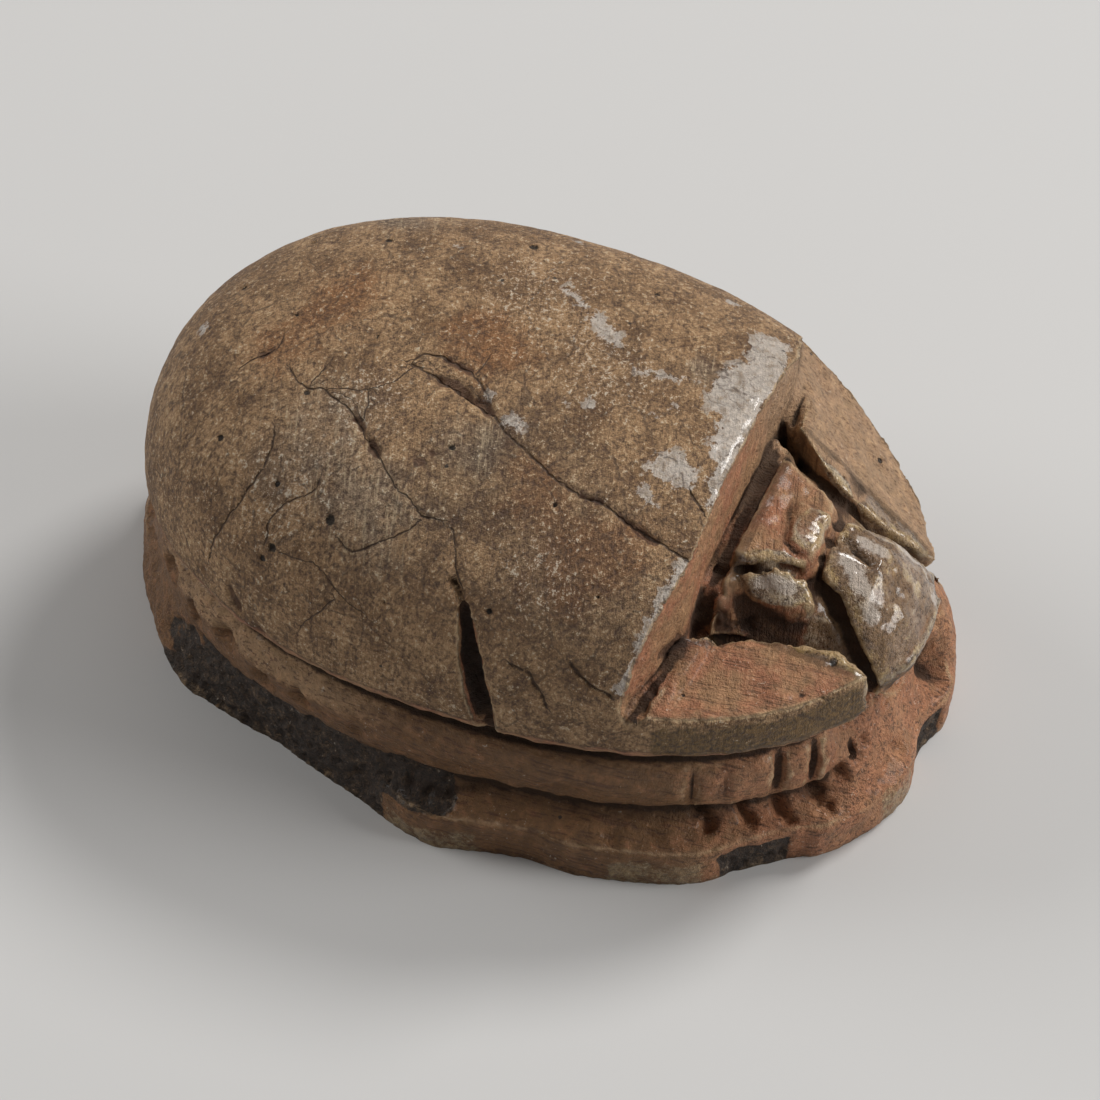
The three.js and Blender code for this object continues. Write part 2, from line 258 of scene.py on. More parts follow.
# Cracks across the back: how wide and deep beside a common one, and the points they pass, in millimetres
backCracks = {
    "long": (1.0, [(-0.97, 3.12, 9.36), (-1.09, 2.65, 9.39), (-1.17, 2.2, 9.4), (-1.26, 1.8, 9.41),
                   (-1.46, 1.37, 9.41), (-1.66, 0.73, 9.4), (-2.01, 0.35, 9.36), (-2.3, -0.28, 9.31),
                   (-2.68, -1.04, 9.22), (-2.91, -1.84, 9.11), (-2.85, -2.42, 9.08), (-2.99, -2.89, 8.97),
                   (-3.1, -3.32, 8.88), (-3.17, -3.86, 8.76), (-3.23, -4.64, 8.55)]),
    "longUpper": (0.9, [(-0.83, 3.05, 9.37), (-0.56, 2.87, 9.39), (-0.56, 2.26, 9.43), (-0.69, 1.79, 9.44),
                        (-0.86, 1.48, 9.45), (-1.15, 1.14, 9.43)]),
    "longTwig": (0.6, [(-0.69, 1.55, 9.44), (-0.26, 1.45, 9.46)]),
    "second": (0.7, [(-1.8, 5.66, 8.81), (-2.11, 5.3, 8.85), (-2.28, 4.99, 8.9), (-2.18, 4.71, 8.99),
                     (-2.4, 4.22, 9.03), (-2.58, 3.88, 9.04), (-2.8, 3.57, 9.03), (-3.1, 3.24, 8.99),
                     (-3.4, 2.87, 8.93), (-3.71, 2.5, 8.85), (-4.05, 2.13, 8.73), (-4.25, 1.64, 8.66),
                     (-4.47, 1.3, 8.54), (-4.4, 0.89, 8.59), (-4.52, 0.55, 8.54), (-4.76, 0.35, 8.38),
                     (-5.03, 0.28, 8.17), (-5.24, 0.09, 7.97), (-5.43, -0.11, 7.76)]),
    "secondTwig": (0.5, [(-2.1, 5.01, 8.94), (-1.76, 4.91, 9.01), (-1.44, 4.85, 9.08)]),
    "link": (0.5, [(-2.18, 4.71, 8.99), (-2.06, 4.2, 9.1), (-2.04, 3.81, 9.16), (-1.81, 3.5, 9.23),
                   (-1.58, 3.18, 9.31), (-1.33, 3.07, 9.34), (-1.05, 2.99, 9.36)]),
    "linkDown": (0.5, [(-1.92, 3.65, 9.21), (-2.33, 3.52, 9.14), (-2.7, 3.46, 9.08)]),
    "rear": (0.6, [(-1.88, 6.85, 8.35), (-1.66, 6.7, 8.46), (-1.49, 6.48, 8.6), (-1.24, 6.19, 8.74),
                   (-0.9, 6.19, 8.78)]),
    "left": (0.8, [(-3.36, 5.37, 8.41), (-3.72, 5.3, 8.27), (-4.06, 5.29, 8.04), (-4.36, 5.45, 7.73),
                   (-4.59, 5.55, 7.44), (-4.79, 5.73, 7.06), (-4.95, 5.95, 6.57), (-5.04, 6.11, 6.09),
                   (-5.12, 6.19, 5.51)]),
    "step": (0.8, [(-4.25, 3.91, 8.35), (-4.47, 3.92, 8.2), (-4.56, 4.07, 8.08), (-4.65, 4.3, 7.94),
                   (-4.74, 4.53, 7.78), (-4.91, 4.7, 7.53), (-5.04, 4.79, 7.32), (-5.27, 4.76, 6.99)]),
    "low": (0.7, [(-5.2, 2.96, 7.77), (-5.31, 2.8, 7.69), (-5.34, 2.61, 7.68), (-5.23, 2.32, 7.87),
                  (-5.1, 2.04, 8.03), (-4.97, 1.76, 8.16), (-4.81, 1.52, 8.31), (-4.64, 1.39, 8.43)]),
    "ridgeNick": (1.0, [(-1.77, -4.09, 9.06), (-1.94, -4.3, 9.0), (-2.08, -4.5, 8.93)]),
    "frontA": (1.2, [(-6.04, -1.55, 6.51), (-6.02, -1.95, 6.43), (-6.07, -2.28, 6.05), (-6.12, -2.48, 5.6)]),
    "frontB": (1.3, [(-5.71, -2.84, 6.84), (-5.76, -3.09, 6.59), (-5.77, -3.4, 6.34), (-5.72, -3.79, 6.16)]),
    "lowFork": (0.5, [(-5.45, 4.22, 6.99), (-5.54, 3.79, 7.04), (-5.57, 3.46, 7.13), (-5.68, 3.19, 7.03),
                      (-5.83, 2.83, 6.88), (-5.95, 2.51, 6.71), (-6.03, 2.15, 6.59), (-6.08, 1.89, 6.52)]),
    "lowForkB": (0.5, [(-6.1, 3.5, 5.43), (-6.06, 3.11, 6.08), (-5.96, 2.77, 6.6)]),
}
# Gouges along the cracks and dents in the lip: places, reach and depth
gouges = [
    ([(-1.17, 2.2, 9.4), (-1.26, 1.8, 9.41), (-1.42, 1.37, 9.41), (-1.5, 0.95, 9.41)], 0.2, 0.15),
    ([(-1.42, 1.2, 9.41), (-1.62, 0.85, 9.4)], 0.24, 0.12),
    ([(-0.56, 2.26, 9.43), (-0.75, 1.7, 9.44)], 0.14, 0.09),
    ([(-2.86, -1.9, 9.09), (-2.84, -2.35, 9.08)], 0.14, 0.1),
    ([(-2.97, -2.8, 8.99), (-3.17, -3.8, 8.78)], 0.14, 0.11),
    ([(-2.75, 3.6, 9.03), (-3.08, 3.24, 8.99), (-3.4, 2.85, 8.93)], 0.2, 0.13),
    ([(-1.5, 6.48, 8.6), (-1.2, 6.2, 8.75)], 0.12, 0.07),
    ([(-3.05, 1.71, 9.14)], 0.3, 0.09), ([(-3.35, 1.85, 9.0)], 0.2, 0.05),
    ([(-5.5, 5.45, 5.1), (-5.62, 5.2, 4.7)], 0.26, 0.18), ([(-5.9, 4.6, 4.5)], 0.26, 0.16),
    ([(-5.0, 6.3, 5.0)], 0.25, 0.12), ([(-4.2, 7.2, 4.6)], 0.3, 0.12), ([(-6.3, 3.2, 4.6)], 0.2, 0.08),
]
# Pits: place and radius
darkPits = [
    ((-4.91, 3.34, 7.98), 0.14), ((-5.38, 4.54, 6.93), 0.12), ((-5.47, 4.72, 6.59), 0.09),
    ((-2.8, 1.28, 9.21), 0.1), ((-2.34, 5.01, 8.88), 0.09), ((-3.49, 6.64, 7.75), 0.09),
    ((-4.4, 4.85, 7.96), 0.08), ((2.85, 5.16, 8.73), 0.09), ((2.62, 6.96, 8.09), 0.07),
    ((-0.43, 4.1, 9.27), 0.07), ((-0.23, 6.18, 8.81), 0.06), ((-3.3, -1.42, 9.02), 0.07),
    ((-5.59, -0.82, 7.51), 0.09), ((-4.67, -3.02, 8.09), 0.07), ((3.88, 1.98, 8.87), 0.12),
    ((-5.89, 1.56, 7.03), 0.06), ((1.9, 3.6, 9.15), 0.07), ((3.6, -1.2, 9.0), 0.08), ((0.8, 7.9, 7.9), 0.09),
    ((4.6, 4.4, 8.1), 0.1), ((5.3, -2.2, 7.6), 0.08), ((5.9, 2.6, 6.9), 0.1), ((3.2, 8.0, 6.4), 0.09),
]
# Glaze that still clings to the back: points and reach
glazeSpots = [
    ([(3.4, -4.05, 8.65), (2.46, -4.26, 8.92), (1.26, -4.3, 9.12), (0.58, -4.35, 9.15), (-0.4, -4.45, 9.12)],
     0.46),
    ([(2.0, -3.9, 9.1), (0.9, -3.75, 9.2)], 0.4), ([(-0.6, -4.5, 9.1), (-1.7, -4.6, 9.0)], 0.22),
    ([(-1.46, -3.75, 9.17), (-1.2, -3.45, 9.2), (-1.5, -3.3, 9.2)], 0.36),
    ([(-2.17, -3.13, 9.14), (-2.4, -3.35, 9.1)], 0.15),
    ([(1.95, -0.3, 9.38), (1.82, -0.46, 9.38), (1.55, -0.85, 9.4)], 0.25),
    ([(2.2, 0.1, 9.36), (2.6, 0.7, 9.25)], 0.12),
    ([(0.85, -1.7, 9.4), (1.0, -2.3, 9.36), (1.22, -2.95, 9.3)], 0.08),
    ([(-1.73, 0.08, 9.39), (-1.68, 0.34, 9.39)], 0.17), ([(-0.66, -0.59, 9.44)], 0.1),
    ([(-0.56, -1.15, 9.43)], 0.09),
    ([(-1.2, 1.0, 9.42)], 0.1), ([(0.2, -2.9, 9.37)], 0.09), ([(-0.2, -2.6, 9.4)], 0.07),
    ([(-3.5, -4.6, 8.42), (-4.19, -4.45, 8.1), (-4.72, -4.4, 7.63), (-5.18, -4.35, 7.07), (-5.6, -4.15, 6.3)], 0.24),
    ([(4.5, -2.6, 8.3)], 0.12), ([(4.9, 1.2, 8.2)], 0.14), ([(3.1, 3.6, 8.95)], 0.1), ([(-0.4, 8.4, 7.6)], 0.12),
]
# Thick glaze on the head: the clypeus's upper edge, the eye and the brow
headGlazeSpots = [
    ([(-0.3, -7.45, 6.6), (-0.55, -7.85, 6.45), (-0.9, -8.3, 5.9)], 0.26),
    ([(0.5, -7.6, 6.6), (0.45, -8.0, 6.5)], 0.24),
    ([(1.28, -8.21, 5.92), (1.38, -8.85, 5.23)], 0.2), ([(0.96, -9.28, 4.82)], 0.2),
    ([(-1.76, -5.9, 6.8), (-1.63, -6.2, 6.86), (-1.59, -6.55, 6.73)], 0.2),
    ([(0.34, -6.5, 7.2), (0.2, -6.72, 7.15)], 0.07),
]
# Thin glaze round the eye and the brow: middle, squeeze, reach and share; then along the far eye
headSheen = [((-1.55, -6.2, 6.85), (1, 0.6, 1.2), (0.5, 0.75), 1.2),
             ((-0.05, -6.5, 7.2), (0.8, 1.3, 1), (0.45, 0.62), 0.55)]
farEyeSheen = ([(2.3, -5.7, 7.6), (1.9, -6.6, 6.6)], (0.25, 0.45))
# Parts of the back that are greyer, redder or more flecked, and parts darkened as painted shade where less light
# falls on the back's near side: middle and reach
greyZones = [((-3.4, 4.3, 8.8), 2.6), ((-4.6, 2.2, 8.2), 2.0), ((-2.6, 0.9, 9.3), 1.5), ((1.6, -3.1, 9.3), 0.8),
             ((4.2, 5.2, 8.0), 1.8)]
redZones = [((-4.3, -2.2, 8.4), 1.9), ((-3.6, -3.3, 8.6), 1.3), ((-3.0, -0.8, 9.1), 1.4), ((0.3, 1.6, 9.45), 1.9),
            ((0.6, 5.2, 9.0), 1.8), ((-1.2, 6.2, 8.7), 1.6)]
# painted shade zones on the back's near side: middle and reach
paintedShadeZones = [((-2.7, -0.6, 9.2), 2.6), ((-4.4, -2.4, 8.4), 2.6), ((-3.6, 0.9, 8.9), 1.9)]
fleckZones = [((2.2, 1.2, 9.3), 2.4), ((0.6, -1.2, 9.4), 2.2), ((-2.2, 3.6, 9.2), 1.8), ((-4.6, -1.6, 8.2), 1.6),
              ((-4.4, 4.6, 7.9), 2.2)]
# Chips along the rim of the base, dark and pale: from and to in degrees round, and how high they reach
rimChips = [(222, 235, 0.85), (271, 278.5, 0.8)]
paleChips = [(205, 219, 1.0), (254, 264, 1.1), (177, 188, 0.8), (20, 32, 0.7), (318, 328, 0.6)]
# Dents and strokes in the flank: degrees round, height, reach along and up, depth
flankDents = [
    (126, 2.9, 0.5, 0.55, 0.3), (135, 2.5, 0.45, 0.5, 0.26), (144.5, 2.9, 0.5, 0.5, 0.3),
    (153, 2.35, 0.4, 0.4, 0.24), (161, 2.6, 0.35, 0.4, 0.16), (171, 2.3, 0.3, 0.35, 0.12),
    (186, 2.35, 0.35, 0.2, 0.08), (199, 2.5, 0.6, 0.2, 0.08), (222, 1.62, 0.34, 0.4, 0.3),
    (229, 1.55, 0.3, 0.36, 0.3), (236, 1.5, 0.34, 0.36, 0.3), (243.5, 1.5, 0.3, 0.34, 0.26),
    (249, 1.9, 0.34, 0.36, 0.3), (256, 2.3, 0.3, 0.3, 0.18), (263, 1.5, 0.3, 0.3, 0.1),
    (266, 2.6, 0.3, 0.24, 0.12), (213, 1.3, 0.3, 0.14, 0.07), (206, 1.25, 0.24, 0.16, 0.08),
    (192, 1.2, 0.3, 0.2, 0.08), (30, 2.4, 0.5, 0.4, 0.14), (52, 2.8, 0.4, 0.5, 0.2),
    (66, 2.4, 0.45, 0.4, 0.16), (96, 2.7, 0.5, 0.5, 0.22), (110, 2.6, 0.4, 0.5, 0.24),
    (320, 1.6, 0.3, 0.3, 0.18), (312, 1.5, 0.3, 0.3, 0.2), (338, 2.4, 0.4, 0.3, 0.1),
]
# Grooves that part the head's facets: points, reach and depth
headGrooves = [
    ([(0.5, -6.95, 6.3), (0.35, -7.19, 6.68), (0.19, -7.39, 6.63), (0.1, -7.63, 6.53), (-0.02, -7.95, 6.5)],
     0.16, 0.2),
    ([(-0.46, -6.94, 6.18), (-1.02, -7.47, 6.12), (-1.23, -7.83, 5.64), (-1.42, -8.26, 4.99), (-1.65, -8.73, 4.4)],
     0.3, 0.22),
    ([(-1.7, -4.83, 6.4), (-1.52, -5.32, 6.69), (-1.45, -5.95, 6.98), (-1.02, -6.58, 6.69)], 0.18, 0.2),
    ([(-0.72, -6.1, 7.12), (-0.9, -6.5, 7.04), (-0.4, -6.9, 6.6)], 0.1, 0.07),
    ([(-5.35, 0.16, 7.85), (-5.45, -0.02, 7.7), (-5.6, -0.25, 7.4)], 0.12, 0.2),
    ([(0.75, -7.2, 6.35), (1.1, -8.2, 5.9), (1.35, -9.0, 4.9)], 0.16, 0.08),
]
# Crumbled corner of the near plate, and pits in both plates
plateCrumble = ([(-4.1, -4.5, 6.2), (-3.3, -4.9, 5.95), (-2.9, -5.3, 5.8), (-2.2, -5.7, 5.65)], 0.36)
platePits = [((-2.39, -7.97, 5.62), 0.13), ((-3.5, -7.64, 5.52), 0.11), ((-4.6, -5.2, 5.7), 0.08),
             ((2.2, -6.4, 6.4), 0.1), ((3.98, -6.78, 5.35), 0.09)]


def soft(low, high, values):
    share = np.clip((values - low) / (high - low), 0, 1)
    return share * share * (3 - 2 * share)


def within(values, marks):
    # 1 between the middle two marks, down to 0 at the outer two
    return soft(marks[0], marks[1], values) * (1 - soft(marks[2], marks[3], values))


def roughness(points, size, octaves, start):
    shift = Vector(start)
    return np.array([noise.fractal(Vector(p) / size + shift, 0.9, 2.1, octaves) for p in points])


def relaxed(values, edges, rounds, share):
    count = len(values)
    near = np.maximum(np.bincount(edges.ravel(), minlength=count), 1)
    a, b = edges[:, 0], edges[:, 1]
    for _ in range(rounds):
        total = np.stack([np.bincount(a, c[b], count) + np.bincount(b, c[a], count) for c in values.T], 1)
        values = values + share * (total / near[:, None] - values)
    return values


def reachOf(points, line):
    # distance to a line of points, and the same distance signed by its side seen from above and outside
    best = np.full(len(points), 9.0)
    signed = np.full(len(points), 9.0)
    line = np.array(line, float)
    if len(line) == 1:
        best = np.linalg.norm(points - line[0], axis=1)
        return best, best
    for start, end in zip(line[:-1], line[1:]):
        way = end - start
        share = np.clip((points - start) @ way / (way @ way), 0, 1)
        gap = points - start - share[:, None] * way
        far = np.linalg.norm(gap, axis=1)
        outward = (start + end) / 2 - np.array([0, (start + end)[1] / 4, 3.0])
        side = np.sign(gap @ np.cross(way, outward))
        closer = far < best
        best[closer] = far[closer]
        signed[closer] = (far * np.where(side == 0, 1, side))[closer]
    return best, signed


def spotField(points, spots):
    field = np.full(len(points), -1.0)
    for line, reach in spots:
        field = np.maximum(field, reach - reachOf(points, line)[0])
    return field


def zoneField(points, zones):
    return sum(1 - soft(0.2 * reach, reach, np.linalg.norm(points - np.array(middle), axis=1))
               for middle, reach in zones)


def carveStone(size):
    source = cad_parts["scarab"]
    mesh = source.data.copy()
    mesh.materials.clear()
    shape = bmesh.new()
    shape.from_mesh(mesh)
    bmesh.ops.remove_doubles(shape, verts=shape.verts, dist=1e-7)
    bmesh.ops.scale(shape, vec=(1 / mm,) * 3, verts=shape.verts)  # worked in millimetres
    shape.to_mesh(mesh)
    shape.free()
    rough = bpy.data.objects.new("roughStone", mesh)
    bpy.context.scene.collection.objects.link(rough)
    remesh = rough.modifiers.new("evenMesh", "REMESH")
    remesh.mode, remesh.voxel_size, remesh.use_smooth_shade = "VOXEL", size["voxel"], True
    bpy.context.view_layer.update()
    stone = bpy.data.meshes.new_from_object(rough.evaluated_get(bpy.context.evaluated_depsgraph_get()))
    bpy.data.objects.remove(rough)
    bpy.data.meshes.remove(mesh)
    return stone


def rowsOf(items, what):
    values = np.zeros(len(items) * 3)
    items.foreach_get(what, values)
    return values.reshape(-1, 3)


def setPoints(mesh, points):
    mesh.vertices.foreach_set("co", points.astype(np.float32).ravel())
    mesh.update()


def setMask(mesh, name, values):
    mesh.attributes.new(name, "FLOAT", "POINT").data.foreach_set("value", values.astype(np.float32))


def backForm(spots, size):
    # each point against the back's true round form: how far out in plan, how deep, and the rim's own angle
    centre = np.array([size["middle"][0], size["middle"][1] + size["backY"], size["lip"]])
    away = spots - centre
    reach = np.where(away[:, 1] > 0, size["rear"], size["front"])
    plan = (np.abs(away[:, 0] / size["halfWidth"]) ** size["planPower"]
            + np.abs(away[:, 1] / reach) ** size["planPower"]) ** (size["backPower"] / size["planPower"])
    lift = np.clip(away[:, 2] / (size["top"] - size["lip"]), 0, 2) ** size["backPower"]
    level = (plan + lift) ** (1 / size["backPower"])
    angle = np.degrees(np.arctan2(
        np.sign(away[:, 1]) * np.abs(away[:, 1] / reach) ** (size["planPower"] / 2),
        np.sign(away[:, 0]) * np.abs(away[:, 0] / size["halfWidth"]) ** (size["planPower"] / 2))) % 360
    return SimpleNamespace(centre=centre, away=away, ring=plan ** (1 / size["backPower"]), level=level,
                           depth=(1 - level) * np.linalg.norm(away, axis=1), angle=angle)


def surveyStone(mesh, size):
    # softens the even mesh, sets the untouched back to its true form, and reads what the wear goes by
    edges = np.zeros(len(mesh.edges) * 2, np.int64)
    mesh.edges.foreach_get("vertices", edges)
    edges = edges.reshape(-1, 2)
    spots = rowsOf(mesh.vertices, "co")
    for _ in range(size["softenRounds"]):
        spots = relaxed(spots, edges, 1, 0.5)
        spots = relaxed(spots, edges, 1, -0.52)
    at = backForm(spots, size)
    at.base = spots[:, 2] < size["baseHeight"]
    over = soft(size["lip"] - 0.05, size["lip"] + 0.2, spots[:, 2])
    at.skin = over * (1 - soft(size["skinDepth"], size["skinEdge"], np.abs(at.depth)))
    at.cut = 1 - at.skin
    snap = at.skin[:, None]
    at.spots = spots * (1 - snap) + snap * (at.centre + at.away / at.level[:, None])
    at.height = at.spots[:, 2]
    setPoints(mesh, at.spots)
    at.out = rowsOf(mesh.vertex_normals, "vector")

    # hollows and edges, from the difference to a smoothed copy
    near = relaxed(at.spots, edges, size["nearRounds"], 0.5)
    wide = relaxed(near, edges, size["wideRounds"], 0.5)
    at.hollow = ((near - at.spots) * at.out).sum(1)
    at.deep = ((wide - at.spots) * at.out).sum(1)
    for name, field in size["unevenFields"].items():
        setattr(at, name, roughness(at.spots, *field))
    at.across, at.along = at.spots[:, 0], at.spots[:, 1]
    at.face = (soft(*size["faceSides"], size["faceHalf"] - np.abs(at.across - size["headMiddle"]))
               * (1 - soft(*size["faceRear"], at.along)) * soft(*size["faceFoot"], at.height))
    return at


def undersideRelief(spots, ring, size):
    # a plain border line and rows of shallow strokes, cut into the flat underside
    relief = size["borderDepth"] * (1 - soft(0, size["borderWidth"], np.abs(ring - size["borderLevel"])))
    inside = 1 - soft(0.76, 0.8, ring)
    across, along = spots[:, 0] - size["middle"][0], spots[:, 1] - size["middle"][1]
    for row in size["crossLines"]:
        line = 1 - soft(0, 0.11, np.abs(along - row))
        relief = np.maximum(relief, size["borderDepth"] * line * (1 - soft(0.83, 0.86, ring)))
    for row, step, lean, half in size["strokeRows"]:
        gap = np.abs((across - lean * (along - row) + step / 2) % step - step / 2)
        stroke = (1 - soft(0.02, 0.1, gap)) * (1 - soft(half * 0.75, half * 0.85, np.abs(along - row)))
        relief = np.maximum(relief, size["strokeDepth"] * stroke * inside)
    return relief


def brokenField(at, size):
    # the rough faces where the rim has broken away
    lastAngle = size["breakEnd"] + size["breakEndLean"] * soft(0.75, 1.2, at.height + 0.1 * at.wander)
    start = at.angle + size["breakWander"] * at.wander - size["breakStartLean"] * (at.height - 1)
    foot = soft(0.0, 0.05, at.height)
    broken = (soft(size["breakStart"], size["breakStart"] + size["breakStartFade"], start)
              * (1 - soft(-1, 1, at.angle - lastAngle + 1.5 * at.wander))
              * (1 - soft(-0.05, 0.05, at.height - size["breakTop"] + 0.2 * at.wander)) * foot)
    for first, last, top in rimChips:
        chip = within(at.angle + at.wander, (first - 1, first + 1, last - 1, last + 1))
        chip = chip * (1 - soft(top - 0.06, top + 0.06, at.height + 0.15 * at.wander)) * foot
        broken = np.maximum(broken, chip)
    return broken * soft(0.6, 0.8, at.ring)


def trenchField(at, size):
    # the trench at the foot of the ridge
    foot = np.interp(at.across, *size["trenchFloor"])
    line = size["trenchLine"] + size["trenchBend"] * np.maximum(0, np.abs(at.across) - size["trenchStraight"])
    gap = np.abs(at.along - line + 0.08 * at.wander)
    rise = at.height - foot + 0.2 * at.wander
    return ((1 - soft(*size["trenchHalf"], gap)) * within(rise, size["trenchRise"])
            * (1 - soft(*size["trenchEnd"], at.across)))


def slitField(at, size):
    # the slit in the clypeus
    narrow = 1 - soft(*size["slitHalf"], np.abs(at.across - size["headMiddle"]))
    return (narrow * within(at.along, size["slitLength"]) * (1 - soft(*size["slitTop"], at.height))
            * at.face)


def earthAndShadeField(at, hollowed, size):
    # painted shadow under the lip, a darker groove at the foot, painted shade in the notches, earth and painted
    # shade in the head's hollows
    stand = (at.ring - 1) * np.hypot(at.away[:, 0], at.away[:, 1])
    fromLip = np.abs(at.height - size["lipShadowLine"] + 0.1 * at.wander)
    # painted shadow under the lip's overhang
    lipShadowLine = ((1 - soft(0.3, 0.66, fromLip)) * (1 - soft(-0.2, 0.06, stand))
               * (1 - soft(4.3, 4.46, at.height + 0.06 * at.wander)))
    fromFoot = np.abs(at.height - size["footLine"] + 0.1 * at.wander)
    footLine = (1 - soft(0.0, 0.26, fromFoot)) * (1 - soft(-0.7, -0.45, stand))
    notch = (soft(*size["notchFront"], at.along) * soft(size["lip"], size["lip"] + 0.3, at.height)
             * soft(*size["notchDepth"], at.depth) * (1 - soft(*size["notchSide"], np.abs(at.across))))
    recess = hollowed * (1 - soft(*size["recessTop"], at.height + 0.15 * at.wander)) * 0.75
    # the notch term adds painted shade beyond full earth, darkening the notch further
    return np.clip((footLine * 0.6 + recess) * at.cut + lipShadowLine, 0, 1) + size["notchShade"] * notch


def wearStone(at, size):
    # how far each point moves along the surface's own direction
    lift = (size["swell"] * at.coarse + (size["unevenness"] + at.cut * size["cutUnevenness"]) * at.middling
            + size["grain"] * (1 + at.cut) * at.fine)
    worn = soft(*size["wornEdge"], -at.hollow) * np.clip(0.5 + 1.6 * at.crumbs, 0, 1.8)
    lift -= size["edgeWear"] * worn * (1 - 0.6 * at.face)
    at.grooved = np.zeros(len(at.spots))
    for line, reachTo, sunk in headGrooves:
        share = 1 - soft(0.1 * reachTo, reachTo, reachOf(at.spots, line)[0] + 0.03 * at.fine)
        lift -= sunk * share
        at.grooved = np.maximum(at.grooved, share)
    at.broken = brokenField(at, size)
    lift -= at.broken * (0.03 + 0.16 * np.abs(at.crumbs) + 0.09 * np.abs(at.fine))
    at.dented = np.zeros(len(at.spots))
    for turn, tall, along, up, sunk in flankDents:
        far = np.hypot((at.angle - turn) * size["perDegree"] / along, (at.height - tall) / up)
        far = far + 0.35 * at.crumbs + 0.2 * at.fine
        share = (1 - soft(0.15, 1.0, far)) * at.cut
        lift -= sunk * share
        at.dented = np.maximum(at.dented, share)
    line, reachTo = plateCrumble
    at.crumbled = (1 - soft(0.4, 1.0, reachOf(at.spots, line)[0] / reachTo + 0.6 * at.crumbs)) * at.cut
    lift -= at.crumbled * (0.02 + 0.12 * np.abs(at.crumbs) + 0.16 * np.abs(at.fine))

    at.crackSide = np.full(len(at.spots), size["crackReach"])
    at.crackGap = np.full(len(at.spots), 9.0)
    wavy = at.spots + 0.05 * np.stack([at.middling, at.crumbs, at.fine], 1)
    for weight, line in backCracks.values():
        far, signed = reachOf(wavy, line)
        closer = far < at.crackGap
        at.crackGap[closer] = far[closer]
        at.crackSide[closer] = np.clip(signed[closer] / weight, -size["crackReach"], size["crackReach"])
        lift -= size["crackDepth"] * weight * np.clip(1 - far / (size["crackWidth"] * (0.6 + weight / 2)), 0, 1)
    at.gouged = np.zeros(len(at.spots))
    for line, reachTo, sunk in gouges:
        far = reachOf(at.spots, line)[0] + 0.1 * at.crumbs + 0.09 * at.fine
        share = 1 - soft(0.2 * reachTo, 0.8 * reachTo, far)
        lift -= sunk * share * (0.8 + 0.6 * at.fine)
        at.gouged = np.maximum(at.gouged, share)
    for middle, reachTo in darkPits + platePits:
        far = np.linalg.norm(at.spots - np.array(middle), axis=1)
        lift -= size["pitDepth"] * (1 - soft(0.3 * reachTo, reachTo * 1.1, far))
    return lift


def finishMasks(at, size):
    # what the finish reads, point by point
    clypeus = at.face * (1 - soft(*size["clypeusRear"], at.along))
    sheen = np.zeros(len(at.spots))
    for middle, squeeze, reach, share in headSheen:
        far = np.linalg.norm((at.spots - np.array(middle)) * np.array(squeeze), axis=1)
        sheen = sheen + share * (1 - soft(*reach, far))
    line, reach = farEyeSheen
    sheen = sheen + 1 - soft(*reach, reachOf(at.spots, line)[0])
    band = (1 - soft(*size["plateRear"], at.along)) * (1 - at.face) * soft(4.2, 4.4, at.height)
    pale = np.zeros(len(at.spots))
    for first, last, top in paleChips:
        chip = within(at.angle, (first - 2, first + 1, last - 1, last + 2))
        pale = np.maximum(pale, chip * (1 - soft(top - 0.3, top, at.height + 0.2 * at.wander)))
    # earth and painted shade, with the head's grooves and the trench added
    earthAndShade = earthAndShadeField(at, at.face * (1 - clypeus), size) + at.grooved * 0.8 + at.trench * 0.5
    return {
        "backSkin": at.skin, "brokenFace": at.broken, "hollow": at.hollow, "deepHollow": at.deep,
        "crackSide": at.crackSide, "crackNear": 1 - soft(*size["crackNear"], at.crackGap), "gouge": at.gouged,
        "glazeSpot": spotField(at.spots, glazeSpots), "thickGlaze": spotField(at.spots, headGlazeSpots),
        "greyTone": zoneField(at.spots, greyZones), "redTone": zoneField(at.spots, redZones),
        # the painted shade zones darken the back's near side
        "paintedShade": zoneField(at.spots, paintedShadeZones), "fleckTone": zoneField(at.spots, fleckZones),
        "crumbled": np.maximum(at.crumbled, 0.4 * at.dented), "face": at.face, "clypeus": clypeus,
        "headGlaze": np.clip(sheen, 0, 1.2) * (1 - at.grooved),
        "greenBand": band * (1 - soft(*size["greenTop"], at.height + 0.2 * at.wander)), "earthAndShade": earthAndShade,
        "frontTone": 1 - soft(*size["frontRear"], at.along), "farSide": soft(*size["farFrom"], at.across),
        # painted highlight on the band's top
        "paintedBandHighlight": within(at.height, size["bandHighlightHeights"]) * within(at.angle, size["bandHighlightAngles"]),
        "paleChip": pale * soft(0.8, 0.9, at.ring), "flank": 1 - soft(3.9, 4.35, at.height + 0.1 * at.wander),
        "pitReach": np.min([np.linalg.norm(at.spots - np.array(middle), axis=1) / reachTo
                            for middle, reachTo in darkPits + platePits], axis=0),
    }


def thinned(mesh, most):
    # the same stone in fewer triangles, in metres
    dense = bpy.data.objects.new("denseStone", mesh)
    bpy.context.scene.collection.objects.link(dense)
    fewer = dense.modifiers.new("fewerFaces", "DECIMATE")
    fewer.ratio = most / sum(len(p.vertices) - 2 for p in mesh.polygons)
    bpy.context.view_layer.update()
    final = bpy.data.meshes.new_from_object(dense.evaluated_get(bpy.context.evaluated_depsgraph_get()))
    final.name = "carvedScarab"
    bpy.data.objects.remove(dense)
    bpy.data.meshes.remove(mesh)
    final.transform(Matrix.Scale(mm, 4))
    final.shade_smooth()
    return final


